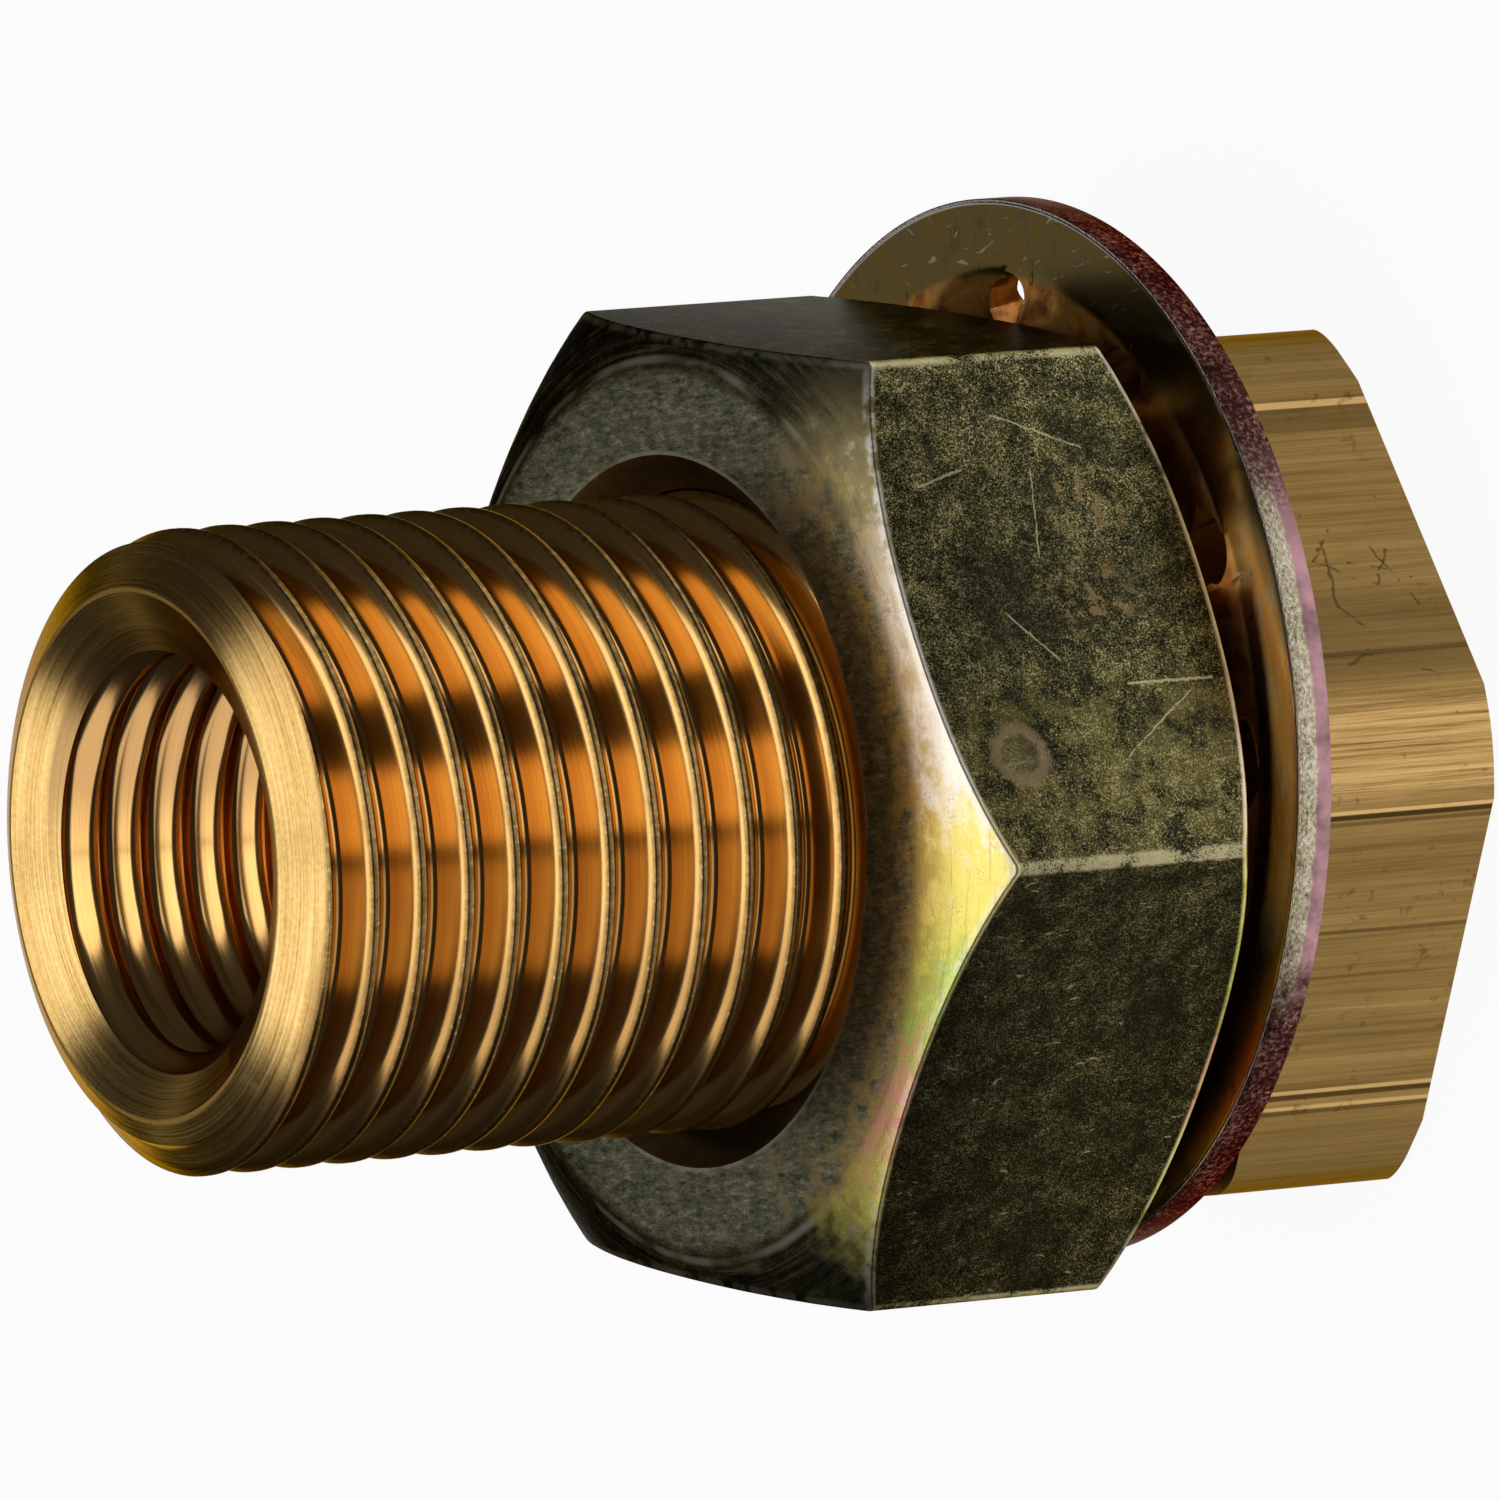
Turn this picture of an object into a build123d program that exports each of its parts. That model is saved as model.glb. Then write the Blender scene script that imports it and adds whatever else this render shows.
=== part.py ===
"""Bulkhead hydraulic adapter: a hex-headed brass body with a long outside thread,
a hex lock nut and an internal-tooth lock washer.

Millimetres. The part stands on the outer face of its hex head: the origin is the centre
of that face, and +Z runs along the body towards the open threaded end.
"""

import os
from math import cos, radians, sin, sqrt, tan

from build123d import *

# Body: hex head
body_length = 38.1
hex_across_flats = 25.4
hex_corner_round = 1.5
hex_corner_angle = 30.0
head_thickness = 6.35
head_face_d = 27.6
hex_chamfer_angle = 30.0

# Body: threaded stub, kept plain at the crest of its thread
thread_d = 18.92
thread_pitch = 25.4 / 16
relief_d = 16.9
relief_width = 1.5 * thread_pitch
relief_slope = 45.0
end_chamfer_height = 0.85
rim_d = 15.56
rim_land = 0.12

# Body: ports and the passage that joins them
front_port_d = 11.7
front_port_depth = 17.0
front_mouth_height = 1.0
rear_port_d = 9.9
rear_port_depth = 11.0
passage_d = 6.35
drill_point_angle = 118.0

# Lock washer
washer_d = 31.68
washer_thickness = 1.1
washer_rim_width = 2.24
washer_play = 1.74
washer_teeth = 12
tooth_span = 18.0
tooth_twist = 18.0
tooth_bite = 0.4
tooth_root_inset = 0.1
tooth_phase = 7.1

# Lock nut
nut_across_flats = 28.1
nut_thickness = 11.28
nut_corner_round = 0.35
nut_corner_angle = 20.7
nut_face_d = 26.56
nut_mouth_d = 21.16
nut_mouth_angle = 45.0

# Clearances between pieces
thread_clearance = 0.05
washer_side_clearance = 0.09
seat_clearance = 0.03

# Sizes that follow from the ones above
washer_root_d = washer_d - 2 * washer_rim_width
washer_tip_d = thread_d + 2 * washer_play
tooth_tip_width = 2 * (washer_tip_d / 2) * sin(radians(tooth_span / 2))
tooth_root_width = 2 * (washer_root_d / 2) * sin(radians(tooth_span / 2))
tooth_reach = (
    tooth_tip_width / 2 * sin(radians(tooth_twist))
    + washer_thickness / 2 * cos(radians(tooth_twist))
)
washer_mid_z = head_thickness + seat_clearance + tooth_reach
washer_shift = washer_play - washer_side_clearance
nut_low_z = washer_mid_z + tooth_reach + seat_clearance
nut_bore_d = thread_d + 2 * thread_clearance


def turned(points):
    """A solid turned about Z from (radius, height) points."""
    with BuildPart() as made:
        with BuildSketch(Plane.XZ):
            with BuildLine():
                Polyline(*points, close=True)
            make_face()
        revolve(axis=Axis.Z)
    return made.part


def hex_bar(across_flats, height, corner_angle, corner_round):
    """A hex bar standing on Z = 0 with rounded corners, one of them at corner_angle."""
    corner = across_flats / sqrt(3)
    corners = []
    for k in range(6):
        turn = radians(corner_angle + 60 * k)
        corners.append((corner * cos(turn), corner * sin(turn)))
    with BuildPart() as made:
        with BuildSketch():
            with BuildLine():
                Polyline(*corners, close=True)
            make_face()
            fillet(vertices(), radius=corner_round)
        extrude(amount=height)
    return made.part


def chamfer_envelope(face_d, height, both_ends):
    """The turned shape that a hex bar is cut to: a cone at its low end, or at both ends."""
    reach = face_d
    face_r = face_d / 2
    rise = (reach - face_r) * tan(radians(hex_chamfer_angle))
    if both_ends:
        middle = face_r + height / 2 / tan(radians(hex_chamfer_angle))
        return turned([(0, 0), (face_r, 0), (middle, height / 2), (face_r, height), (0, height)])
    return turned([(0, 0), (face_r, 0), (reach, rise), (reach, height + rise), (0, height + rise)])


def make_body():
    head = hex_bar(hex_across_flats, head_thickness, hex_corner_angle, hex_corner_round)
    head = head & chamfer_envelope(head_face_d, head_thickness, False)

    thread_r = thread_d / 2
    relief_r = relief_d / 2
    rim_r = rim_d / 2
    relief_top = head_thickness + relief_width
    crest_low = relief_top + (thread_r - relief_r) / tan(radians(relief_slope))
    stub = turned([
        (0, head_thickness / 2),
        (relief_r, head_thickness / 2),
        (relief_r, relief_top),
        (thread_r, crest_low),
        (thread_r, body_length - end_chamfer_height),
        (rim_r + rim_land / 2, body_length),
        (0, body_length),
    ])

    front_r = front_port_d / 2
    rear_r = rear_port_d / 2
    passage_r = passage_d / 2
    point = tan(radians(drill_point_angle / 2))
    front_floor = body_length - front_port_depth
    mouth_r = rim_r - rim_land / 2
    mouth_slope = (mouth_r - front_r) / front_mouth_height
    over = 0.5
    way = turned([
        (0, -over),
        (rear_r, -over),
        (rear_r, rear_port_depth),
        (passage_r, rear_port_depth + (rear_r - passage_r) / point),
        (passage_r, front_floor - (front_r - passage_r) / point),
        (front_r, front_floor),
        (front_r, body_length - front_mouth_height),
        (mouth_r + over * mouth_slope, body_length + over),
        (0, body_length + over),
    ])
    return head + stub - way


def make_washer():
    root_r = washer_root_d / 2
    ring = turned([
        (root_r, -washer_thickness / 2),
        (washer_d / 2, -washer_thickness / 2),
        (washer_d / 2, washer_thickness / 2),
        (root_r, washer_thickness / 2),
    ])
    root_plane = Plane(origin=(root_r + tooth_bite, 0, 0), x_dir=(0, 1, 0), z_dir=(-1, 0, 0))
    tip_turn = radians(tooth_twist)
    tip_x_dir = (0, cos(tip_turn), sin(tip_turn))
    tip_plane = Plane(origin=(washer_tip_d / 2, 0, 0), x_dir=tip_x_dir, z_dir=(-1, 0, 0))
    root_face = root_plane * Rectangle(tooth_root_width, washer_thickness - 2 * tooth_root_inset)
    tip_face = tip_plane * Rectangle(tooth_tip_width, washer_thickness)
    tooth = loft([root_face.face(), tip_face.face()], ruled=True)
    teeth = []
    for k in range(washer_teeth):
        teeth.append(Rot(0, 0, tooth_phase + 360 / washer_teeth * k) * tooth)
    return Pos(washer_shift, 0, washer_mid_z) * ring.fuse(*teeth)


def make_nut():
    blank = hex_bar(nut_across_flats, nut_thickness, nut_corner_angle, nut_corner_round)
    blank = blank & chamfer_envelope(nut_face_d, nut_thickness, True)
    bore_r = nut_bore_d / 2
    mouth_r = nut_mouth_d / 2
    slope = tan(radians(nut_mouth_angle))
    mouth_height = (mouth_r - bore_r) / slope
    over = 0.5
    hole = turned([
        (0, -over),
        (mouth_r + over * slope, -over),
        (bore_r, mouth_height),
        (bore_r, nut_thickness - mouth_height),
        (mouth_r + over * slope, nut_thickness + over),
        (0, nut_thickness + over),
    ])
    return Pos(0, 0, nut_low_z) * (blank - hole)


os.makedirs("parts", exist_ok=True)
export_step(make_body(), "parts/adapter_body.step")
export_step(make_washer(), "parts/lock_washer.step")
export_step(make_nut(), "parts/lock_nut.step")
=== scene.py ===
import math

import bmesh
import bpy
from mathutils import Matrix, Vector


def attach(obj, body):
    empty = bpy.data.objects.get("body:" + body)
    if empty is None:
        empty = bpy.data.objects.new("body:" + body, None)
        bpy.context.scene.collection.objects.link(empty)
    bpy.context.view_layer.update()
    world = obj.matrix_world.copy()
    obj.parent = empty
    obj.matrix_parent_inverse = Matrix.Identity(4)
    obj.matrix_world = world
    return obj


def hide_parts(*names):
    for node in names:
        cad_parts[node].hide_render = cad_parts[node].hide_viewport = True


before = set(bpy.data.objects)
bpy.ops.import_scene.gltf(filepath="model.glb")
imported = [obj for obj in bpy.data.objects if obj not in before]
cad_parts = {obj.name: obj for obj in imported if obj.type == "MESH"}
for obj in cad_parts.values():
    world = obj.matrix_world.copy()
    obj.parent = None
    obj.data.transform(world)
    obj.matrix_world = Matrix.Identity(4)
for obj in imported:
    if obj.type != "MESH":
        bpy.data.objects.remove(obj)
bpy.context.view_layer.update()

# Sizes in millimetres, as the solids have them. Pieces are modelled in millimetres and shrunk to
# metres when they are finished.
ROUND = 144
BODY_LENGTH = 38.1
HEX_FLATS = 25.4
HEAD_HEIGHT = 6.35
HEAD_FACE_R = 13.8
HEX_CORNER_ROUND = 1.5
THREAD_R = 9.46
THREAD_ROOT_R = 8.49
THREAD_PITCH = 25.4 / 16
THREAD_GROOVE_Z = 6.796
RELIEF_R = 8.45
RELIEF_TOP = HEAD_HEIGHT + 1.5 * THREAD_PITCH
RIM_R = 7.78
END_CHAMFER = 0.85
FRONT_R = 5.85
FRONT_ROOT_R = 6.47
FRONT_PITCH = 25.4 / 18
FRONT_DEPTH = 17.0
FRONT_MOUTH = 1.0
FRONT_GROOVE_Z = 23.97
REAR_R = 4.95
REAR_ROOT_R = 5.56
REAR_PITCH = 25.4 / 20
REAR_DEPTH = 11.0
PASSAGE_R = 3.175
WASHER_R = 15.84
WASHER_ROOT_R = 13.6
WASHER_TIP_R = 11.2
WASHER_THICK = 1.1
WASHER_MID_Z = 7.4445
WASHER_SHIFT = 1.65
TOOTH_TWIST = 18.0
TOOTH_PHASE = 7.1
NUT_FLATS = 28.1
NUT_LOW_Z = 8.539
NUT_HEIGHT = 11.28
NUT_CROWN_R = 11.81
NUT_CROWN = 0.0885
NUT_MOUTH_R = 10.58
NUT_BORE_R = 8.72
NUT_CORNER_ROUND = 0.335
NUT_TURN = -9.3


# Marks that the finishes carry, in millimetres
# Drawn lines along the hex: place across the flats, half width, strength
HEX_DARK_LINES = (
    (-1.92, 0.05, 0.85), (-2.12, 0.03, 0.5), (-10.0, 0.05, 0.75), (-10.45, 0.04, 0.6),
    (-5.25, 0.03, 0.5), (2.9, 0.05, 0.55), (10.0, 0.35, 0.4),
)
HEX_BRIGHT_LINES = (
    (10.45, 0.08, 0.7), (-1.78, 0.03, 0.8), (-9.86, 0.03, 0.6), (-10.32, 0.03, 0.6),
    (0.75, 0.06, 0.5), (-0.7, 0.05, 0.5),
)
# Scratches: start, end, half width
HEX_SCUFFS = (
    ((6.3, -11.02, 3.6), (4.3, -12.15, 3.9), 0.055),
    ((4.3, -12.15, 3.9), (3.5, -12.6, 3.1), 0.06),
    ((6.1, -11.15, 2.0), (4.2, -12.22, 1.1), 0.045),
    ((5.6, -11.4, 3.0), (5.1, -11.72, 0.9), 0.04),
    ((6.6, -10.85, 3.2), (5.7, -11.35, 4.1), 0.05),
    ((5.7, -11.35, 4.1), (4.9, -11.8, 2.2), 0.045),
    ((4.9, -11.8, 2.2), (5.9, -11.25, 1.5), 0.045),
    ((7.4, -10.4, 4.6), (3.0, -12.9, 4.9), 0.03),
    ((2.9, -13.0, 3.4), (2.6, -13.15, 4.3), 0.07),
    ((2.3, -13.3, 1.9), (2.15, -13.4, 1.4), 0.05),
)
NUT_SCRATCHES = (
    ((2.55, -14.06, 12.6), (2.53, -14.06, 9.7), 0.045),
    ((8.77, -11.70, 17.75), (9.18, -11.55, 16.17), 0.04),
    ((10.74, -10.96, 14.61), (9.60, -11.39, 11.87), 0.03),
    ((9.03, -11.61, 13.8), (6.2, -12.68, 14.4), 0.025),
    ((4.91, -13.16, 16.05), (3.38, -13.74, 14.67), 0.03),
    ((0.44, -14.85, 13.25), (2.2, -14.19, 10.57), 0.025),
)


# Modelling helpers
def clear_selection():
    if bpy.context.object and bpy.context.object.mode != "OBJECT":
        bpy.ops.object.mode_set(mode="OBJECT")
    bpy.ops.object.select_all(action="DESELECT")


def edit(piece):
    clear_selection()
    bpy.context.view_layer.objects.active = piece
    piece.select_set(True)
    bpy.ops.object.mode_set(mode="EDIT")
    bpy.ops.mesh.select_all(action="SELECT")


def tidy_mesh(piece):
    edit(piece)
    bpy.ops.mesh.remove_doubles(threshold=0.0005)
    bpy.ops.mesh.normals_make_consistent(inside=False)
    bpy.ops.object.mode_set(mode="OBJECT")


def apply_modifiers(piece):
    clear_selection()
    bpy.context.view_layer.objects.active = piece
    piece.select_set(True)
    for modifier in list(piece.modifiers):
        bpy.ops.object.modifier_apply(modifier=modifier.name)


def drawn(name, points, closed=True):
    """An outline in the XZ plane, drawn by pulling one corner from point to point."""
    clear_selection()
    bpy.ops.mesh.primitive_plane_add(size=1, location=(0, 0, 0))
    piece = bpy.context.object
    piece.name = name
    bpy.ops.object.mode_set(mode="EDIT")
    bpy.ops.mesh.select_all(action="SELECT")
    bpy.ops.mesh.merge(type="CENTER")
    bpy.ops.transform.translate(value=(points[0][0], 0, points[0][1]))
    for last, here in zip(points, points[1:]):
        step = (here[0] - last[0], 0, here[1] - last[1])
        bpy.ops.mesh.extrude_region_move(TRANSFORM_OT_translate={"value": step})
    if closed:
        bpy.ops.mesh.select_all(action="SELECT")
        bpy.ops.mesh.edge_face_add()
        bpy.ops.mesh.delete(type="ONLY_FACE")
    bpy.ops.object.mode_set(mode="OBJECT")
    return piece


def turned(name, points):
    """A solid of revolution about Z from (radius, height) points."""
    piece = drawn(name, points)
    edit(piece)
    bpy.ops.mesh.spin(steps=ROUND, angle=2 * math.pi, center=(0, 0, 0), axis=(0, 0, 1))
    tidy_mesh(piece)
    return piece


def screw_rod(name, wave, pitch, low, turns):
    """A threaded rod: one wave of the thread, as (radius, height) points, run up a right-hand helix.

    The ends run to points on the axis, well outside what is kept of the rod.
    """
    piece = drawn(name, [(radius, low + height) for radius, height in wave], closed=False)
    screw = piece.modifiers.new("helix", "SCREW")
    screw.axis = "Z"
    screw.angle = 2 * math.pi
    screw.screw_offset = pitch
    screw.iterations = turns
    screw.steps = ROUND
    screw.render_steps = ROUND
    apply_modifiers(piece)
    edit(piece)
    bpy.ops.mesh.remove_doubles(threshold=0.0005)
    shape = bmesh.from_edit_mesh(piece.data)
    middle = low + pitch * turns / 2
    top_tip = shape.verts.new((0, 0, low + pitch * (turns + 4)))
    low_tip = shape.verts.new((0, 0, low - 3 * pitch))
    for rim in [edge for edge in shape.edges if edge.is_boundary]:
        tip = top_tip if rim.verts[0].co.z > middle else low_tip
        shape.faces.new((rim.verts[0], rim.verts[1], tip))
    bmesh.update_edit_mesh(piece.data)
    tidy_mesh(piece)
    return piece


def carve(piece, tool, how="DIFFERENCE"):
    cut = piece.modifiers.new("cut", "BOOLEAN")
    cut.operation = how
    cut.solver = "MANIFOLD"
    cut.object = tool
    apply_modifiers(piece)
    bpy.data.objects.remove(tool)


def hex_bar(name, flats, low, height, turn, corner_round):
    """A hex bar with rounded corners."""
    clear_selection()
    bpy.ops.mesh.primitive_cylinder_add(
        vertices=6, radius=flats / math.sqrt(3), depth=height,
        location=(0, 0, low + height / 2), rotation=(0, 0, math.radians(turn)),
    )
    piece = bpy.context.object
    piece.name = name
    bpy.ops.object.transform_apply(location=True, rotation=True, scale=True)
    edit(piece)
    bpy.ops.mesh.select_all(action="DESELECT")
    bpy.ops.mesh.select_mode(type="EDGE")
    shape = bmesh.from_edit_mesh(piece.data)
    for edge in shape.edges:
        edge.select = abs(edge.verts[0].co.z - edge.verts[1].co.z) > height / 2
    bmesh.update_edit_mesh(piece.data)
    bpy.ops.mesh.bevel(offset=corner_round * math.tan(math.radians(30)), segments=8, affect="EDGES")
    bpy.ops.mesh.select_mode(type="VERT")
    bpy.ops.object.mode_set(mode="OBJECT")
    return piece


def soften(piece, width, angle=28, segments=2):
    bevel = piece.modifiers.new("edges", "BEVEL")
    bevel.width = width
    bevel.segments = segments
    bevel.limit_method = "ANGLE"
    bevel.angle_limit = math.radians(angle)
    bevel.use_clamp_overlap = True
    apply_modifiers(piece)


def settle(piece, body, node, finish):
    """Shrinks a finished piece to metres and puts it in the frame in place of its solid."""
    clear_selection()
    bpy.context.view_layer.objects.active = piece
    piece.select_set(True)
    piece.scale = (0.001, 0.001, 0.001)
    bpy.ops.object.transform_apply(location=True, rotation=True, scale=True)
    bpy.ops.object.shade_smooth_by_angle(angle=math.radians(32))
    # The rim at the open end stays crisp.
    for edge in piece.data.edges:
        heights = [piece.data.vertices[corner].co.z for corner in edge.vertices]
        if min(heights) > (BODY_LENGTH - 0.03) / 1000:
            edge.use_edge_sharp = True
    piece.data.materials.clear()
    piece.data.materials.append(finish)
    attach(piece, body)
    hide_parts(node)


# Thread waves, one pitch each, from root to root
def outside_wave():
    """The outside thread: flanks at 30 degrees, a rounded root and a narrow worn crest."""
    slope = math.tan(math.radians(30))
    crest_half = THREAD_PITCH / 2 - 0.13 - (THREAD_R - THREAD_ROOT_R) * slope
    shoulder = THREAD_PITCH / 2 - crest_half
    half = [
        (THREAD_ROOT_R, 0.0), (THREAD_ROOT_R + 0.02, 0.10), (THREAD_ROOT_R + 0.09, 0.18),
        (THREAD_ROOT_R + 0.22, 0.13 + 0.22 * slope), (THREAD_R - 0.36, shoulder - 0.36 * slope),
        (THREAD_R - 0.05, shoulder - 0.05 * slope), (THREAD_R - 0.013, shoulder + 0.012),
        (THREAD_R, shoulder + 0.045),
    ]
    return half + [(radius, THREAD_PITCH - height) for radius, height in reversed(half)]


def inside_wave(bore_r, root_r, pitch):
    """An inside thread with rounded crests and a narrow root."""
    shape = (
        (1.0, 0.0), (0.95, 0.10), (0.72, 0.28), (0.44, 0.50), (0.20, 0.68), (0.07, 0.80), (0.015, 0.90))
    half = [(bore_r + (root_r - bore_r) * deep, pitch / 2 * along) for deep, along in shape]
    return half + [(bore_r, pitch / 2)] + [(radius, pitch - height) for radius, height in reversed(half)]


def nut_wave():
    """The nut's thread: the bolt's ridge and a little play."""
    play = 0.07
    slope = math.tan(math.radians(30))
    wide = THREAD_PITCH / 2 - 0.13 - (THREAD_R - THREAD_ROOT_R) * slope + play
    deep = THREAD_R + play
    shallow = (deep - NUT_BORE_R) * slope
    half = [(deep, 0.0), (deep, wide), (NUT_BORE_R, wide + shallow), (NUT_BORE_R, THREAD_PITCH / 2)]
    return half + [(radius, THREAD_PITCH - height) for radius, height in reversed(half[:-1])]


# Pieces
def make_body():
    body = hex_bar("adapter_body_brass", HEX_FLATS, 0, HEAD_HEIGHT, 0, HEX_CORNER_ROUND)
    slope = math.tan(math.radians(30))
    wide = 20.0
    cone = turned("head_cone", [
        (0, 0), (HEAD_FACE_R, 0), (wide, (wide - HEAD_FACE_R) * slope), (wide, 12), (0, 12),
    ])
    carve(body, cone, "INTERSECT")
    soften(body, 0.06, angle=35, segments=2)
    crest_low = RELIEF_TOP + THREAD_R - RELIEF_R
    stub = turned("stub", [
        (0, 2.0), (RELIEF_R, 2.0), (RELIEF_R, RELIEF_TOP), (THREAD_R + 0.05, crest_low + 0.05),
        (THREAD_R + 0.05, BODY_LENGTH - END_CHAMFER + 0.025), (RIM_R + 0.10, BODY_LENGTH - 0.02),
        (RIM_R + 0.05, BODY_LENGTH), (0, BODY_LENGTH),
    ])
    thread = screw_rod(
        "outside_thread", outside_wave(), THREAD_PITCH, THREAD_GROOVE_Z - 2 * THREAD_PITCH, 25)
    carve(stub, thread, "INTERSECT")
    carve(body, stub, "UNION")
    point = math.tan(math.radians(59))
    floor_z = BODY_LENGTH - FRONT_DEPTH
    spread = (RIM_R - 0.06 - FRONT_R) / FRONT_MOUTH
    way = turned("way", [
        (0, -0.5), (REAR_R, -0.5), (REAR_R, REAR_DEPTH),
        (PASSAGE_R, REAR_DEPTH + (REAR_R - PASSAGE_R) / point),
        (PASSAGE_R, floor_z - (FRONT_R - PASSAGE_R) / point),
        (FRONT_R, floor_z), (FRONT_R, BODY_LENGTH - FRONT_MOUTH),
        (RIM_R - 0.06 + 0.5 * spread, BODY_LENGTH + 0.5), (0, BODY_LENGTH + 0.5),
    ])
    front = screw_rod(
        "front_thread", inside_wave(FRONT_R, FRONT_ROOT_R, FRONT_PITCH), FRONT_PITCH, FRONT_GROOVE_Z, 11)
    keep_front = turned("keep_front", [
        (0, FRONT_GROOVE_Z + 1.5 * FRONT_PITCH), (FRONT_ROOT_R + 0.2, FRONT_GROOVE_Z + 2.0 * FRONT_PITCH),
        (FRONT_ROOT_R + 0.2, BODY_LENGTH + 0.4), (0, BODY_LENGTH + 0.4),
    ])
    carve(front, keep_front, "INTERSECT")
    rear = screw_rod(
        "rear_thread", inside_wave(REAR_R, REAR_ROOT_R, REAR_PITCH), REAR_PITCH, -2 * REAR_PITCH, 10)
    keep_rear = turned("keep_rear", [
        (0, -0.4), (REAR_ROOT_R + 0.2, -0.4), (REAR_ROOT_R + 0.2, REAR_DEPTH - 2.5), (0, REAR_DEPTH - 2.0),
    ])
    carve(rear, keep_rear, "INTERSECT")
    carve(body, way)
    carve(body, front)
    carve(body, rear)
    tidy_mesh(body)
    return body


def make_nut():
    nut = hex_bar("lock_nut_plated", NUT_FLATS, NUT_LOW_Z, NUT_HEIGHT, NUT_TURN, NUT_CORNER_ROUND)
    top = NUT_LOW_Z + NUT_HEIGHT
    crown = [(radius, NUT_CROWN * (radius - NUT_CROWN_R) ** 2) for radius in
             (NUT_CROWN_R, 12.3, 12.8, 13.3, 13.8, 14.3, 14.8, 15.3, 15.8, 16.4, 17.2)]
    cones = turned("nut_cones", [(0, NUT_LOW_Z)] + [(radius, NUT_LOW_Z + drop) for radius, drop in crown]
                   + [(radius, top - drop) for radius, drop in reversed(crown)] + [(0, top)])
    carve(nut, cones, "INTERSECT")
    soften(nut, 0.14, angle=17, segments=3)
    rise = NUT_MOUTH_R - NUT_BORE_R
    hole = turned("nut_hole", [
        (0, NUT_LOW_Z - 0.5), (NUT_MOUTH_R + 0.5, NUT_LOW_Z - 0.5), (NUT_BORE_R, NUT_LOW_Z + rise),
        (NUT_BORE_R, top - rise), (NUT_MOUTH_R + 0.5, top + 0.5), (0, top + 0.5),
    ])
    carve(nut, hole)
    tap = screw_rod("nut_thread", nut_wave(), THREAD_PITCH, THREAD_GROOVE_Z - THREAD_PITCH * 2.5, 13)
    keep_tap = turned("keep_tap", [
        (0, NUT_LOW_Z - 0.4), (THREAD_R + 1.0, NUT_LOW_Z - 0.4),
        (THREAD_R + 1.0, top + 0.4), (0, top + 0.4),
    ])
    carve(tap, keep_tap, "INTERSECT")
    carve(nut, tap)
    tidy_mesh(nut)
    return nut


def tooth_inner_radius(away):
    """Inner outline of the washer, by degrees away from the middle of a tooth."""
    slot_half = 6.0
    if away <= 8.6:
        return WASHER_TIP_R
    if away <= 9.0:
        return WASHER_TIP_R + (WASHER_ROOT_R - 1.0 - WASHER_TIP_R) * (away - 8.6) / 0.4
    across = (15.0 - away) / slot_half
    return WASHER_ROOT_R - 1.0 + 1.0 * math.sqrt(max(0.0, 1 - across * across))


def make_washer():
    half = [0, 1.5, 3, 4.5, 6, 7, 8, 8.6, 8.75, 9.0, 9.1, 9.4, 10, 10.8, 11.8, 13, 14, 15]
    angles = [-a for a in reversed(half[1:])] + half
    rows = 20
    clear_selection()
    bpy.ops.mesh.primitive_grid_add(
        x_subdivisions=len(angles) - 1, y_subdivisions=rows, size=2, location=(0, 0, 0)
    )
    washer = bpy.context.object
    washer.name = "lock_washer_plated"
    columns = len(angles)
    twist = math.tan(math.radians(TOOTH_TWIST))
    for vertex in washer.data.vertices:
        column = round((vertex.co.x + 1) / 2 * (columns - 1))
        row = round((vertex.co.y + 1) / 2 * rows)
        away = angles[column]
        inner = tooth_inner_radius(abs(away))
        radius = inner + (WASHER_R - inner) * row / rows
        turn = math.radians(away)
        lean = min(1.0, max(0.0, (WASHER_ROOT_R + 0.3 - radius) / (WASHER_ROOT_R + 0.3 - WASHER_TIP_R)))
        lean = lean * lean * (3 - 2 * lean)
        across = radius * math.sin(turn)
        vertex.co = (radius * math.cos(turn), across, across * twist * lean)
    sectors = []
    for k in range(12):
        copy = washer.copy()
        copy.data = washer.data.copy()
        bpy.context.collection.objects.link(copy)
        copy.rotation_euler = (0, 0, math.radians(TOOTH_PHASE + 30 * k))
        sectors.append(copy)
    bpy.data.objects.remove(washer)
    clear_selection()
    for copy in sectors:
        copy.select_set(True)
    bpy.context.view_layer.objects.active = sectors[0]
    bpy.ops.object.transform_apply(location=True, rotation=True, scale=True)
    bpy.ops.object.join()
    washer = bpy.context.object
    washer.name = "lock_washer_plated"
    washer.data.name = "lock_washer_plated"
    edit(washer)
    bpy.ops.mesh.remove_doubles(threshold=0.002)
    bpy.ops.mesh.normals_make_consistent(inside=False)
    bpy.ops.object.mode_set(mode="OBJECT")
    wall = washer.modifiers.new("wall", "SOLIDIFY")
    wall.thickness = WASHER_THICK
    wall.offset = 0
    wall.use_even_offset = True
    apply_modifiers(washer)
    tidy_mesh(washer)
    soften(washer, 0.1, angle=50, segments=2)
    edit(washer)
    bpy.ops.transform.translate(value=(WASHER_SHIFT, 0, WASHER_MID_Z))
    bpy.ops.object.mode_set(mode="OBJECT")
    return washer


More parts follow.
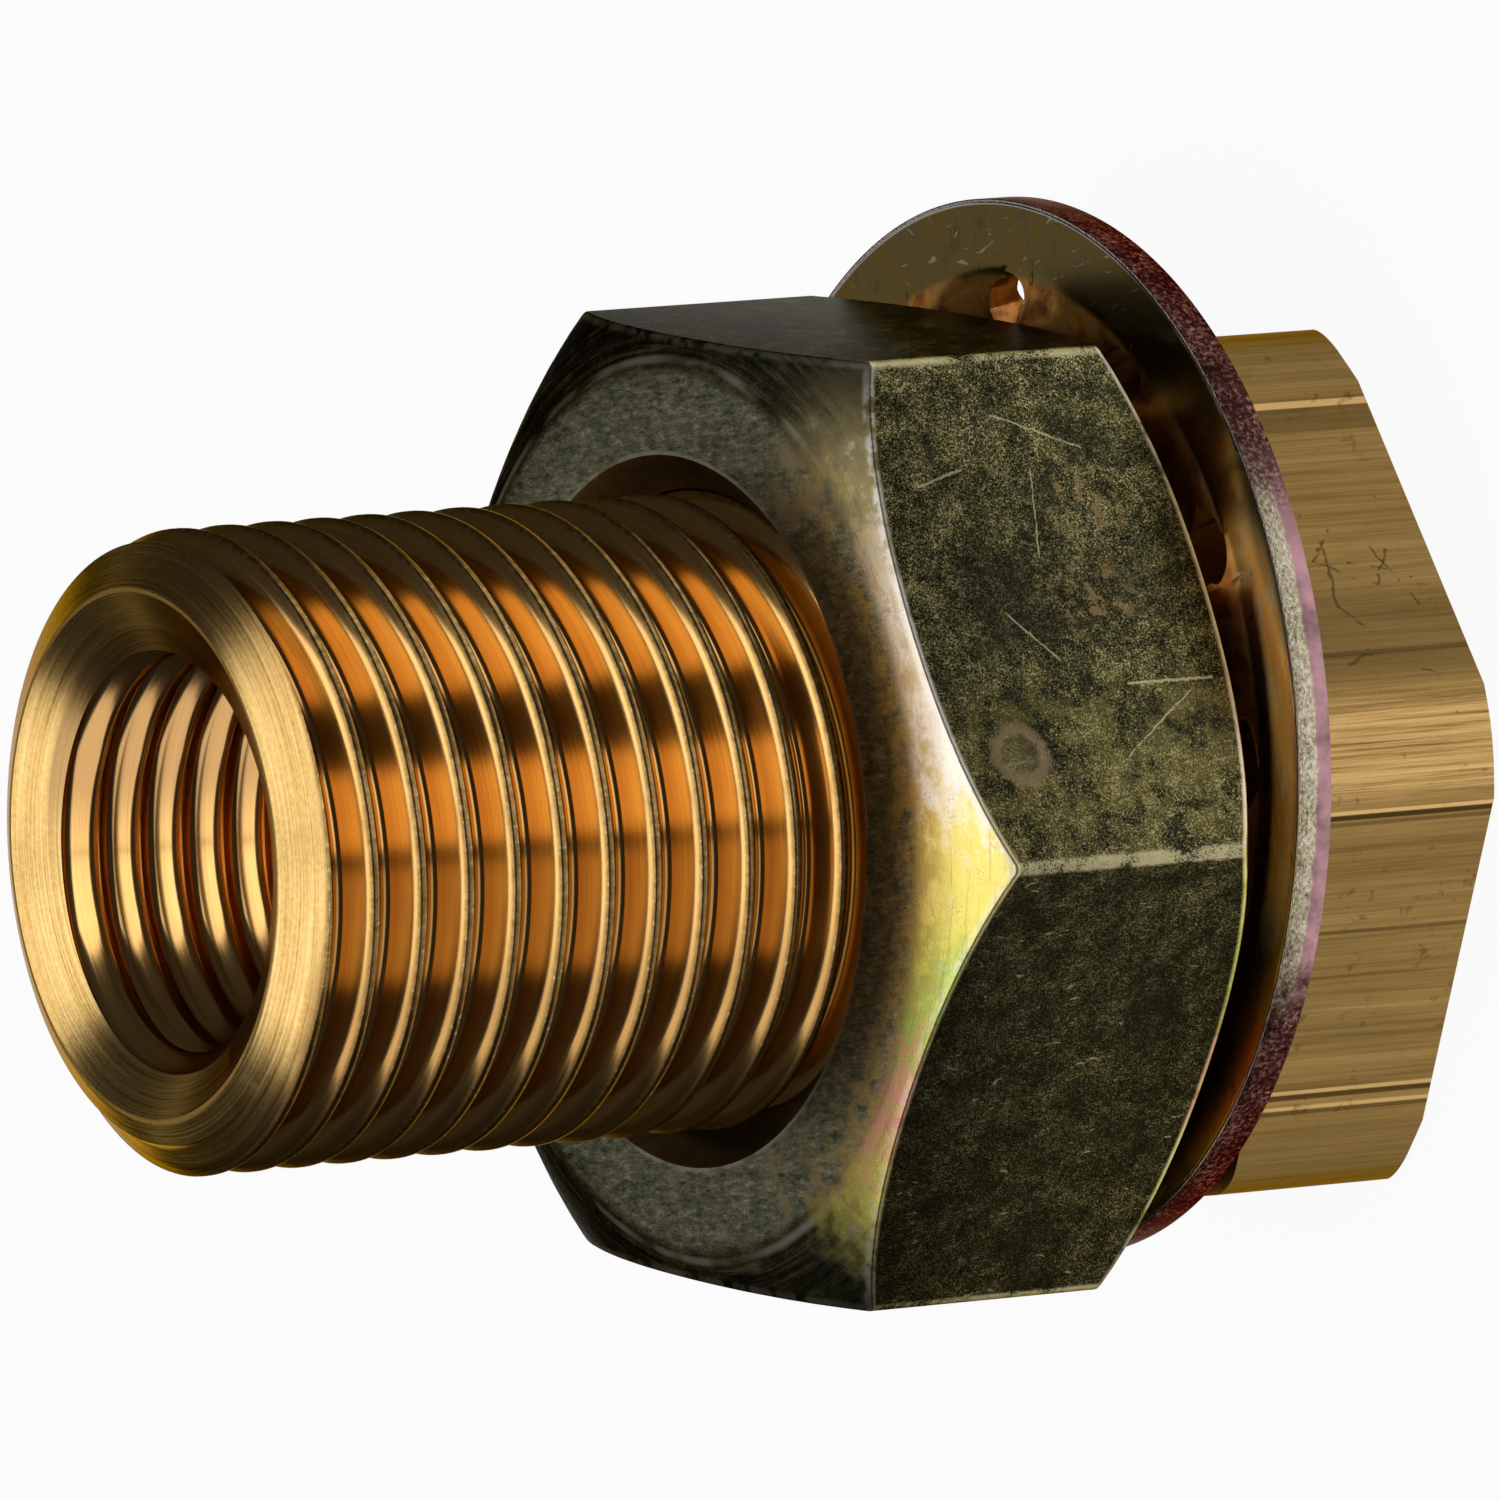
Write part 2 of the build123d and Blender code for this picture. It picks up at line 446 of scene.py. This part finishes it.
# Finishes
class Value:
    """A shader value: sums and products of these add Math nodes to the material."""

    def __init__(self, socket):
        self.socket = socket

    def math(self, operation, other, turned_round=False):
        node = self.socket.id_data.nodes.new("ShaderNodeMath")
        node.operation = operation
        pair = (other, self) if turned_round else (self, other)
        for place, item in enumerate(pair):
            feed(node.inputs[place], item)
        return Value(node.outputs[0])

    def __add__(self, other):
        return self.math("ADD", other)

    def __radd__(self, other):
        return self.math("ADD", other, True)

    def __sub__(self, other):
        return self.math("SUBTRACT", other)

    def __rsub__(self, other):
        return self.math("SUBTRACT", other, True)

    def __mul__(self, other):
        return self.math("MULTIPLY", other)

    def __rmul__(self, other):
        return self.math("MULTIPLY", other, True)

    def __truediv__(self, other):
        return self.math("DIVIDE", other)

    def __rtruediv__(self, other):
        return self.math("DIVIDE", other, True)


def feed(socket, item):
    if isinstance(item, Value):
        socket.id_data.links.new(item.socket, socket)
    elif socket.type == "RGBA":
        socket.default_value = (*item, 1.0)
    else:
        socket.default_value = item


class Finish:
    """A material that is built up node by node, with places in millimetres."""

    def __init__(self, name):
        self.material = bpy.data.materials.new(name)
        self.material.use_nodes = True
        self.tree = self.material.node_tree
        self.shader = self.tree.nodes["Principled BSDF"]
        self.shader.inputs["Metallic"].default_value = 1.0
        where = self.node("ShaderNodeTexCoord", output="Object")
        self.mm = self.vector("SCALE", where, Scale=1000.0)
        self.x = self.node("ShaderNodeSeparateXYZ", inputs={0: self.mm}, output="X")
        self.y = self.node("ShaderNodeSeparateXYZ", inputs={0: self.mm}, output="Y")
        self.z = self.node("ShaderNodeSeparateXYZ", inputs={0: self.mm}, output="Z")

    def node(self, kind, settings=None, inputs=None, output=0):
        made = self.tree.nodes.new(kind)
        for name, value in (settings or {}).items():
            if name == "stops":
                ramp = made.color_ramp
                while len(ramp.elements) < len(value):
                    ramp.elements.new(0.5)
                for element, (place, colour) in zip(ramp.elements, value):
                    element.position = place
                    element.color = (*colour, 1.0)
            else:
                setattr(made, name, value)
        for name, value in (inputs or {}).items():
            feed(made.inputs[name], value)
        return Value(made.outputs[output])

    def vector(self, operation, *items, output=0, **named):
        inputs = dict(enumerate(items))
        inputs.update(named)
        return self.node("ShaderNodeVectorMath", {"operation": operation}, inputs, output)

    def join(self, x, y, z):
        return self.node("ShaderNodeCombineXYZ", inputs={0: x, 1: y, 2: z})

    def radius(self, centre_x=0.0):
        return self.vector("LENGTH", self.join(self.x - centre_x, self.y, 0.0), output="Value")

    def along(self, way):
        """Distance from the axis towards one side, given as an angle about Z."""
        side = (math.cos(way), math.sin(way), 0.0)
        return self.vector("DOT_PRODUCT", self.mm, side, output="Value")

    def noise(self, where, scale, detail=3.0, rough=0.55):
        inputs = {"Vector": where, "Scale": scale, "Detail": detail, "Roughness": rough}
        return self.node("ShaderNodeTexNoise", None, inputs, "Fac")

    def step(self, value, low, high):
        inputs = {"Value": value, "From Min": low, "From Max": high}
        return self.node("ShaderNodeMapRange", {"interpolation_type": "SMOOTHSTEP"}, inputs, "Result")

    def band(self, value, centre, half, soft):
        away = (value - centre).math("ABSOLUTE", 0.0)
        return self.step(away, half + soft, half)

    def mix(self, share, first, second):
        return self.node("ShaderNodeMix", {"data_type": "RGBA"}, {0: share, 6: first, 7: second}, 2)

    def ramp(self, value, stops):
        return self.node("ShaderNodeValToRGB", {"stops": stops}, {"Fac": value}, "Color")

    def wander(self, scale, amount):
        """Places in millimetres, pushed about a little."""
        inputs = {"Vector": self.mm, "Scale": scale, "Detail": 2.0}
        push = self.node("ShaderNodeTexNoise", None, inputs, "Color")
        push = self.vector("SUBTRACT", push, (0.5, 0.5, 0.5))
        return self.vector("ADD", self.mm, self.vector("SCALE", push, Scale=amount))

    def stroke(self, where, start, end, half):
        """A scratch between two points."""
        run = Vector(end) - Vector(start)
        away = self.vector("SUBTRACT", where, tuple(start))
        share = self.vector("DOT_PRODUCT", away, tuple(run / run.length_squared), output="Value")
        share = share.math("MAXIMUM", 0.0).math("MINIMUM", 1.0)
        foot = self.vector("SCALE", tuple(run), Scale=share)
        gap = self.vector("DISTANCE", away, foot, output="Value")
        return self.step(gap, half * 1.3, half * 0.5)

    def spot(self, where, centre, low, high):
        gap = self.vector("DISTANCE", where, tuple(centre), output="Value")
        return self.step(gap, high, low)

    def show(self, colour, roughness, height=None, deep=0.00002, strength=1.0):
        feed(self.shader.inputs["Base Color"], colour)
        feed(self.shader.inputs["Roughness"], roughness)
        if height is not None:
            inputs = {"Strength": strength, "Distance": deep, "Height": height}
            feed(self.shader.inputs["Normal"], self.node("ShaderNodeBump", None, inputs, "Normal"))
        return self.material


def brass_finish():
    """Turned brass with a drawn, scuffed hex."""
    f = Finish("brass")
    r = f.radius()
    outer = f.step(r, 7.0, 7.3)
    head = f.step(f.z, 6.42, 6.32) * outer * f.step(f.z, 0.001, 0.006)
    thread = f.step(f.z, 6.32, 6.42) * outer
    rings = f.noise(f.join(f.x * 0.12, f.y * 0.12, r * 16.0 + f.z * 3.0), 1.0, 4.0, 0.65)
    grain = f.noise(f.mm, 6.0, 3.0, 0.65)
    cloud = f.noise(f.mm, 0.5, 2.0, 0.5)

    gold = f.ramp(rings * 0.75 + cloud * 0.25, [
        (0.30, (0.68, 0.360, 0.105)), (0.46, (0.91, 0.520, 0.170)),
        (0.58, (0.97, 0.580, 0.195)), (0.76, (0.98, 0.67, 0.280))])
    deep = f.step(r, 9.15, 8.60) * thread
    gold = f.mix(deep * 0.38, gold, (0.62, 0.26, 0.060))
    ends = f.step(f.z, BODY_LENGTH - 1.05, BODY_LENGTH - 0.95)
    satin = f.ramp(grain * 0.25 + rings * 0.75, [
        (0.32, (0.28, 0.155, 0.046)), (0.44, (0.58, 0.370, 0.120)),
        (0.54, (0.74, 0.500, 0.180)), (0.70, (0.92, 0.72, 0.36))])
    gold = f.mix(ends * 0.85, gold, satin)
    # Painted shade deep in the front bore, on its +X half.
    port_shade = f.step(r, 6.75, 6.55) * f.step(f.z, 22.0, 26.0)
    gold = f.mix(port_shade * f.step(f.x, -0.5, 2.6) * 0.75, gold, (0.36, 0.20, 0.085))
    # Painted shade: the open end is darker towards +X.
    gold = f.mix(ends * f.step(f.x, 3.2, 6.4) * 0.5, gold, (0.34, 0.20, 0.070))
    crest = f.step(r, 9.27, 9.41) * thread
    worn = f.ramp(f.noise(f.mm, 3.4, 4.0, 0.7), [
        (0.32, (0.14, 0.080, 0.024)), (0.48, (0.30, 0.180, 0.060)), (0.66, (0.50, 0.33, 0.130))])
    gold = f.mix(crest * 0.9, gold, worn)
    # Painted shade on the thread crests and upper flanks of the -X side, dimming their highlight.
    painted_shade_low_side = f.step(r, 8.95, 9.25) * thread * f.step(f.x, -1.5, -5.5)
    gold = f.mix(painted_shade_low_side * 0.65, gold, (0.22, 0.115, 0.036))
    burr = f.step(grain, 0.60, 0.66) * f.step(r, 9.36, 9.42) * thread
    gold = f.mix(burr * 0.4, gold, (0.95, 0.80, 0.50))

    lines = f.noise(f.join(f.x * 7.5, f.y * 7.5, f.z * 0.12), 1.0, 4.0, 0.75)
    bands = f.noise(f.join(f.x * 0.9, f.y * 0.9, f.z * 0.05), 1.0, 2.0, 0.5)
    drawn_tone = f.ramp(lines * 0.62 + bands * 0.38, [
        (0.30, (0.135, 0.081, 0.025)), (0.44, (0.250, 0.155, 0.049)),
        (0.54, (0.32, 0.200, 0.065)), (0.72, (0.47, 0.305, 0.112))])
    # The hex corners towards -Y and +Y are brightened: partly burnished wear, partly a painted highlight.
    burnish_and_highlight = f.step(r, 13.65, 14.15) * f.step(f.x, 11.0, 9.0) * f.step(f.x, -11.0, -9.0)
    shine = f.ramp(lines, [
        (0.34, (0.20, 0.11, 0.030)), (0.48, (0.56, 0.34, 0.120)), (0.62, (0.80, 0.52, 0.20))])
    drawn_tone = f.mix(burnish_and_highlight * 0.85, drawn_tone, shine)
    near = f.step(f.y, 0.0, -2.0) * head
    for place, half, depth in HEX_DARK_LINES:
        line = f.band(f.x, place, half, 0.05) * near
        drawn_tone = f.mix(line * depth, drawn_tone, (0.035, 0.018, 0.006))
    for place, half, depth in HEX_BRIGHT_LINES:
        line = f.band(f.x, place, half, 0.05) * near
        drawn_tone = f.mix(line * depth, drawn_tone, (0.85, 0.55, 0.22))
    shaky = f.wander(1.5, 0.45)
    scuff = f.step(f.noise(shaky, 1.3, 3.0, 0.7), 0.58, 0.68) * f.step(cloud, 0.46, 0.60)
    pits = f.step(f.noise(f.mm, 4.2, 3.0, 0.6), 0.68, 0.74)
    dirt = (scuff * 0.5 + pits * 0.4).math("MINIMUM", 1.0)
    drawn_tone = f.mix(dirt, drawn_tone, (0.060, 0.038, 0.014))
    drawn_tone = f.mix(f.band(f.x, 3.6, 1.0, 0.9) * near * 0.34, drawn_tone, (0.095, 0.062, 0.024))
    for start, end, half in HEX_SCUFFS:
        mark = f.stroke(shaky, start, end, half)
        drawn_tone = f.mix(mark * 0.65, drawn_tone, (0.055, 0.036, 0.014))
    # Painted shade on the hex flats facing +X and -X.
    painted_shade_far_sides = f.step(f.x.math("ABSOLUTE", 0.0), 9.8, 12.6)
    drawn_tone = f.mix(painted_shade_far_sides * 0.45, drawn_tone, (0.11, 0.068, 0.024))
    colour = f.mix(head, gold, drawn_tone)

    rough = 0.11 + rings * 0.09 + crest * 0.15 + ends * 0.05 + head * (0.16 + lines * 0.12)
    height = rings * 0.06 * (1.0 - head) + head * lines * 1.0 + ends * rings * 0.45
    feed(f.shader.inputs["Specular Tint"], (0.60, 0.42, 0.19))
    return f.show(colour, rough, height, 0.00002, 0.6)


def nut_finish():
    """Plated steel: speckled flats painted dark, partly as a painted dark reflection, and stained chamfers
    with painted light on the front and painted shade elsewhere.
    """
    f = Finish("nut_zinc")
    r = f.radius()
    up = (f.z - (NUT_LOW_Z + NUT_HEIGHT / 2)).math("ABSOLUTE", 0.0)
    out = (r - NUT_CROWN_R).math("MAXIMUM", 0.0)
    to_cone = up - (NUT_HEIGHT / 2 - out * out * NUT_CROWN)
    turned_end = f.step(to_cone, -0.20, -0.03)
    ways = [math.radians(NUT_TURN + 60 * k) for k in range(3)]
    spans = [f.along(way).math("ABSOLUTE", 0.0) for way in ways]
    to_flat = NUT_FLATS / 2 - spans[0].math("MAXIMUM", spans[1]).math("MAXIMUM", spans[2])
    cone = turned_end * f.step(r, 12.8, 13.5)
    face = turned_end * f.step(r, 13.5, 12.8)
    fine = f.noise(f.mm, 17.0, 3.0, 0.75)
    middle = f.noise(f.mm, 1.1, 3.0, 0.6)
    cloud = f.noise(f.mm, 0.35, 2.0, 0.5)

    coarse = f.noise(f.mm, 4.5, 3.0, 0.7)
    # The flats are painted dark: partly the speckled plating, partly a painted dark reflection.
    flats = f.ramp(fine * 0.64 + coarse * 0.18 + middle * 0.18, [
        (0.39, (0.006, 0.006, 0.004)), (0.475, (0.028, 0.026, 0.014)),
        (0.535, (0.124, 0.110, 0.046)), (0.61, (0.60, 0.535, 0.235))])
    flats = f.mix(f.step(cloud, 0.52, 0.66) * 0.45, flats, (0.020, 0.022, 0.013))
    # Painted shade over the flat that faces towards -X and -Y.
    lower = f.along(math.radians(NUT_TURN - 120))
    flats = f.mix(f.step(lower, 13.75, 13.95) * 0.68, flats, (0.018, 0.016, 0.010))
    hair = f.noise(f.vector("MULTIPLY", f.wander(0.7, 1.2), (2.6, 2.6, 0.35)), 2.4, 2.0, 0.5)
    flats = f.mix(f.step(hair, 0.66, 0.70) * f.step(middle, 0.46, 0.58) * 0.45, flats, (0.52, 0.48, 0.27))
    loose = f.wander(2.2, 0.6)
    # A darker patch in the middle of the front flat on the +X side.
    darker_patch = f.spot(loose, (5.8, -12.9, 14.6), 1.0, 4.6)
    flats = f.mix(darker_patch * 0.42, flats, (0.014, 0.014, 0.009))
    by_corner = f.band(f.x, 0.2, 1.6, 1.8) * f.step(f.y, -13.0, -13.6) * f.step(middle, 0.40, 0.55)
    flats = f.mix(by_corner * 0.3, flats, (0.20, 0.165, 0.045))
    flakes = f.step(f.noise(f.mm, 2.4, 3.0, 0.6), 0.52, 0.60)
    tan_patch = f.spot(loose, (8.0, -12.0, 12.3), 0.6, 1.8) + f.spot(loose, (5.1, -13.1, 12.9), 0.5, 1.8)
    flats = f.mix((tan_patch * flakes).math("MINIMUM", 0.7), flats, (0.25, 0.17, 0.075))
    ring_gap = f.vector("DISTANCE", loose, (0.71, -14.75, 16.95), output="Value")
    ring = f.band(ring_gap, 0.84, 0.08, 0.20) * 0.55 + f.step(ring_gap, 1.0, 0.7) * 0.16
    flats = f.mix(ring, flats, (0.30, 0.225, 0.120))
    shaken = f.wander(3.0, 0.14)
    for start, end, half in NUT_SCRATCHES:
        mark = f.stroke(shaken, start, end, half)
        flats = f.mix(mark * 0.6, flats, (0.62, 0.56, 0.30))

    across = f.noise(f.join(f.x / r * 7.0, f.y / r * 7.0, r * 0.7), 3.0, 4.0, 0.7)
    streak = f.noise(f.vector("MULTIPLY", f.mm, (3.2, 0.8, 1.0)), 2.2, 4.0, 0.75)
    rings = f.noise(f.join(f.x * 0.25, f.y * 0.25, r * 7.0), 1.0, 4.0, 0.75)
    end_face = f.ramp(streak * 0.50 + fine * 0.30 + across * 0.20, [
        (0.36, (0.045, 0.050, 0.034)), (0.47, (0.21, 0.22, 0.150)),
        (0.56, (0.43, 0.41, 0.26)), (0.66, (0.88, 0.80, 0.52))])
    stain = f.spot(loose, (9.47, -8.29, 19.82), 0.4, 2.2) + f.spot(loose, (-11.1, -4.57, 19.82), 0.4, 2.0)
    end_face = f.mix((stain * f.step(middle, 0.42, 0.6)).math("MINIMUM", 0.8), end_face, (0.50, 0.39, 0.22))

    # The chamfer has a lit copy with painted highlights, white streaks and a painted light gradient along
    # X.
    tint = f.ramp(0.5 - f.x * 0.030 + (middle - 0.5) * 0.16 + (across - 0.5) * 0.20, [
        (0.10, (0.20, 0.165, 0.075)), (0.24, (0.46, 0.38, 0.180)), (0.31, (0.96, 0.84, 0.70)),
        (0.48, (1.0, 0.93, 0.82)), (0.55, (0.94, 0.76, 0.220)), (0.63, (0.80, 0.70, 0.150)),
        (0.69, (0.44, 0.58, 0.110)), (0.76, (0.90, 0.36, 0.30)),
        (0.85, (0.80, 0.72, 0.15)), (0.95, (0.30, 0.26, 0.13))])
    lit_chamfer = f.mix(f.step(rings, 0.46, 0.36) * 0.38, tint, (0.26, 0.21, 0.090))
    lit_chamfer = f.mix(f.step(fine * 0.7 + middle * 0.3, 0.45, 0.36) * 0.45, lit_chamfer, (0.16, 0.13, 0.060))
    lit_chamfer = f.mix(f.step(across, 0.58, 0.70) * 0.30, lit_chamfer, (0.96, 0.92, 0.82))
    # The shaded copy of the chamfer: painted shade.
    shaded_chamfer = f.ramp(rings * 0.5 + fine * 0.3 + middle * 0.2, [
        (0.38, (0.014, 0.014, 0.009)), (0.50, (0.055, 0.052, 0.030)), (0.62, (0.24, 0.215, 0.115))])
    # Painted light: the lit copy on the front of the chamfer towards -Y, the shaded copy elsewhere.
    turn = f.x.math("ARCTAN2", 0.0 - f.y) * (180 / math.pi) + (middle - 0.5) * 24.0
    lit = f.step(turn, 60.0, 42.0) * f.step(turn, -70.0, -56.0)
    lit_chamfer = f.mix(lit, shaded_chamfer, lit_chamfer)

    colour = f.mix(face, flats, end_face)
    colour = f.mix(cone, colour, lit_chamfer)
    # Painted highlight: warm gold on the lit front of the chamfer.
    warm_lit_highlight = f.band(r, 13.1, 0.5, 0.9) * turned_end * lit * f.step(across * 0.6 + middle * 0.4, 0.42, 0.60)
    colour = f.mix(warm_lit_highlight * 0.7, colour, (0.58, 0.40, 0.120))
    # Painted highlight: a pale line on the ridge between face and chamfer, where the chamfer is not lit.
    ridge_highlight = f.band(r, 13.40, 0.03, 0.16) * turned_end * (1.0 - lit) * f.step(cloud, 0.36, 0.56)
    colour = f.mix(ridge_highlight * 0.55, colour, (0.62, 0.60, 0.46))
    edge = f.step(r, 16.07, 16.14) * f.step(middle * 0.5 + fine * 0.5, 0.42, 0.54)
    colour = f.mix(edge * 0.75, colour, (0.58, 0.51, 0.28))
    # Painted highlight along the edge where the chamfer meets the flats, faint all round and strong on the
    # lit front towards +X.
    lip_highlight = f.step(to_flat, 0.30, 0.12) * turned_end * f.step(middle, 0.38, 0.52)
    lip_highlight_share = 0.22 + lit * f.step(f.x, -4.5, 0.5) * 0.65
    colour = f.mix(lip_highlight * lip_highlight_share, colour, (0.92, 0.84, 0.74))
    inside = f.step(r, 10.75, 10.55)
    colour = f.mix(inside, colour, f.mix(middle, (0.20, 0.18, 0.11), (0.52, 0.48, 0.31)))
    mouth = f.band(r, 10.62, 0.04, 0.07) * f.step(middle, 0.36, 0.52)
    colour = f.mix(mouth * 0.6, colour, (0.64, 0.60, 0.44))
    rough = 0.22 + fine * 0.14 + cone * 0.02
    height = fine * 0.8
    feed(f.shader.inputs["Specular Tint"], (0.16, 0.14, 0.10))
    return f.show(colour, rough, height, 0.00003, 0.5)


def washer_finish():
    """Spring steel with a glossy amber coat and a rough cut edge."""
    f = Finish("washer_zinc")
    r = f.radius(WASHER_SHIFT)
    fine = f.noise(f.mm, 7.0, 3.0, 0.7)
    middle = f.noise(f.mm, 0.9, 4.0, 0.6)
    long_marks = f.noise(f.vector("MULTIPLY", f.mm, (0.5, 2.5, 1.0)), 1.5, 4.0, 0.65)
    rim = f.ramp(middle * 0.6 + long_marks * 0.4, [
        (0.34, (0.46, 0.37, 0.170)), (0.46, (0.84, 0.68, 0.360)), (0.55, (0.95, 0.60, 0.180)),
        (0.64, (0.90, 0.74, 0.40)), (0.76, (0.97, 0.90, 0.70))])
    tooth = f.ramp(middle, [
        (0.32, (0.20, 0.070, 0.022)), (0.44, (0.52, 0.20, 0.050)), (0.55, (0.74, 0.36, 0.080)),
        (0.70, (0.56, 0.26, 0.10))])
    # Painted shade: the washer face is darker towards +X.
    rim = f.mix(f.step(f.x, 7.0, 12.0) * 0.8, rim, (0.13, 0.100, 0.036))
    colour = f.mix(f.step(r, 13.75, 13.45), rim, tooth)
    drawn_out = f.vector("MULTIPLY", f.wander(0.6, 1.5), (3.5, 0.35, 1.0))
    scratch = f.step(f.noise(drawn_out, 2.0, 2.0, 0.5), 0.68, 0.72)
    colour = f.mix(scratch * 0.5, colour, (0.85, 0.80, 0.66))
    edge = f.step(r, 15.70, 15.78)
    front = f.step(f.z + (middle - 0.5) * 0.3, WASHER_MID_Z - 0.12, WASHER_MID_Z + 0.02)
    torn = f.ramp(fine * 0.7 + middle * 0.3, [
        (0.30, (0.10, 0.070, 0.055)), (0.44, (0.46, 0.40, 0.26)),
        (0.54, (0.72, 0.64, 0.46)), (0.68, (0.95, 0.90, 0.78))])
    purple = f.ramp(fine * 0.7 + middle * 0.3, [
        (0.34, (0.014, 0.007, 0.006)), (0.50, (0.066, 0.028, 0.026)), (0.66, (0.36, 0.195, 0.165))])
    # Painted shade: the cut edge turns dark purple towards +X and -X, away from the front.
    ends = f.step(f.x + (middle - 0.5) * 5.0, 6.0, 9.5) + f.step(f.x + (middle - 0.5) * 4.0, -4.0, -8.0)
    smooth = f.ramp(middle, [
        (0.35, (0.24, 0.13, 0.14)), (0.55, (0.46, 0.26, 0.28)), (0.75, (0.66, 0.34, 0.40))])
    side = f.mix(ends.math("MINIMUM", 1.0), f.mix(front, smooth, torn), purple)
    colour = f.mix(edge, colour, side)
    # Painted highlight: a thin pale line along the outer edge of the +Z face.
    lip_highlight = f.band(r, 15.74, 0.04, 0.05) * f.step(f.z, WASHER_MID_Z + 0.42, WASHER_MID_Z + 0.47)
    colour = f.mix(lip_highlight, colour, (0.92, 0.88, 0.80))
    # Painted highlight: an amber glow on the front of the washer face, made by colour and by less metal
    # there.
    amber_highlight = f.band(r, 15.0, 0.35, 0.45) * f.band(f.x, 1.0, 3.5, 3.5)
    colour = f.mix(amber_highlight * 0.85 * f.step(long_marks, 0.36, 0.52), colour, (0.98, 0.45, 0.060))
    rough = 0.13 + fine * 0.08 + edge * 0.18
    feed(f.shader.inputs["Specular Tint"], (0.42, 0.27, 0.19))
    feed(f.shader.inputs["Metallic"], 1.0 - amber_highlight * 0.5 - f.step(r, 13.75, 13.45) * 0.25)
    height = fine * edge * (0.3 + front) * 2.0
    return f.show(colour, rough, height, 0.00004, 0.6)


settle(make_body(), "adapter", "adapter_body", brass_finish())
settle(make_washer(), "washer", "lock_washer", washer_finish())
settle(make_nut(), "nut", "lock_nut", nut_finish())


# Floor, light and camera
FLOOR_GLOW = 0.94
ROOM_GLOW = 0.03
LAMP_GLOW = 1.1
FAR_LAMP_GLOW = 0.2
LAMP_HEIGHT = 0.57
LENS_LENGTH = 529.2


def make_floor():
    """A pale floor that is white in the picture and keeps the shadow.

    In the metal it is white too, apart from dark strips some way off, by degrees round from the front.
    """
    clear_selection()
    bpy.ops.mesh.primitive_plane_add(size=6, location=(0, 0, 0))
    floor = bpy.context.object
    floor.name = "floor"
    f = Finish("floor_paint")
    feed(f.shader.inputs["Metallic"], 0.0)
    feed(f.shader.inputs["Specular IOR Level"], 0.0)
    feed(f.shader.inputs["Base Color"], (0.86, 0.86, 0.86))
    camera_ray = f.node("ShaderNodeLightPath", output="Is Camera Ray")
    metal_ray = f.node("ShaderNodeLightPath", output="Is Glossy Ray")
    glass_ray = f.node("ShaderNodeLightPath", output="Is Transmission Ray")
    seen = (camera_ray + metal_ray + glass_ray).math("MINIMUM", 1.0)
    away = f.radius()
    turn = f.x.math("ARCTAN2", 0.0 - f.y) * (180 / math.pi)
    dark = f.band(turn, 37.0, 12.0, 4.0) + f.band(turn, 124.0, 27.0, 7.0)
    dark = dark + f.band(turn, -105.0, 40.0, 14.0) + f.band(turn, -9.0, 2.4, 1.5)
    dark = dark + f.band(turn, -40.0, 27.0, 9.0) * 0.50
    dark = dark * f.step(away, 45.0, 52.0) * metal_ray
    white = f.node("ShaderNodeEmission", inputs={"Strength": 1.0})
    black = f.node("ShaderNodeEmission", inputs={"Strength": 0.02})
    paint = Value(f.shader.outputs[0])
    shade = f.node("ShaderNodeMixShader", inputs={0: seen * FLOOR_GLOW, 1: paint, 2: white})
    shade = f.node("ShaderNodeMixShader", inputs={0: dark.math("MINIMUM", 0.99), 1: shade, 2: black})
    feed(f.tree.nodes["Material Output"].inputs["Surface"], shade)
    floor.data.materials.append(f.material)


def panel(name, centre, width, height, tilt, glow):
    """A lamp of an even brightness. Untilted it faces the floor."""
    lamp = bpy.data.lights.new(name, "AREA")
    lamp.shape = "RECTANGLE"
    lamp.size = width
    lamp.size_y = height
    lamp.energy = glow * 4 * width * height
    holder = bpy.data.objects.new(name, lamp)
    bpy.context.collection.objects.link(holder)
    holder.location = centre
    holder.rotation_euler = (math.radians(tilt), 0, 0)


def make_light():
    world = bpy.data.worlds.new("room")
    bpy.context.scene.world = world
    world.use_nodes = True
    shader = world.node_tree.nodes["Background"]
    shader.inputs["Color"].default_value = (1, 1, 1, 1)
    shader.inputs["Strength"].default_value = ROOM_GLOW
    panel("left_panel", (-0.3135, -0.05, LAMP_HEIGHT), 0.613, 0.62, 0, LAMP_GLOW)
    panel("right_panel", (0.1835, -0.05, LAMP_HEIGHT), 0.353, 0.62, 0, LAMP_GLOW)
    panel("far_panel", (0, 0.50, 0.32), 0.50, 0.32, -62, FAR_LAMP_GLOW)


def make_camera():
    lens = bpy.data.cameras.new("camera")
    lens.sensor_width = 36
    lens.lens = LENS_LENGTH
    lens.clip_start = 0.01
    lens.clip_end = 50
    camera = bpy.data.objects.new("camera", lens)
    bpy.context.collection.objects.link(camera)
    camera.matrix_world = Matrix((
        (-0.08657, 0.996207, -0.008736, -0.004067),
        (-0.515693, -0.052312, -0.855175, -0.558934),
        (-0.852389, -0.069527, 0.518266, 0.355876),
        (0, 0, 0, 1),
    ))
    bpy.context.scene.camera = camera


make_floor()
make_light()
make_camera()
bpy.context.scene.view_settings.view_transform = "Standard"
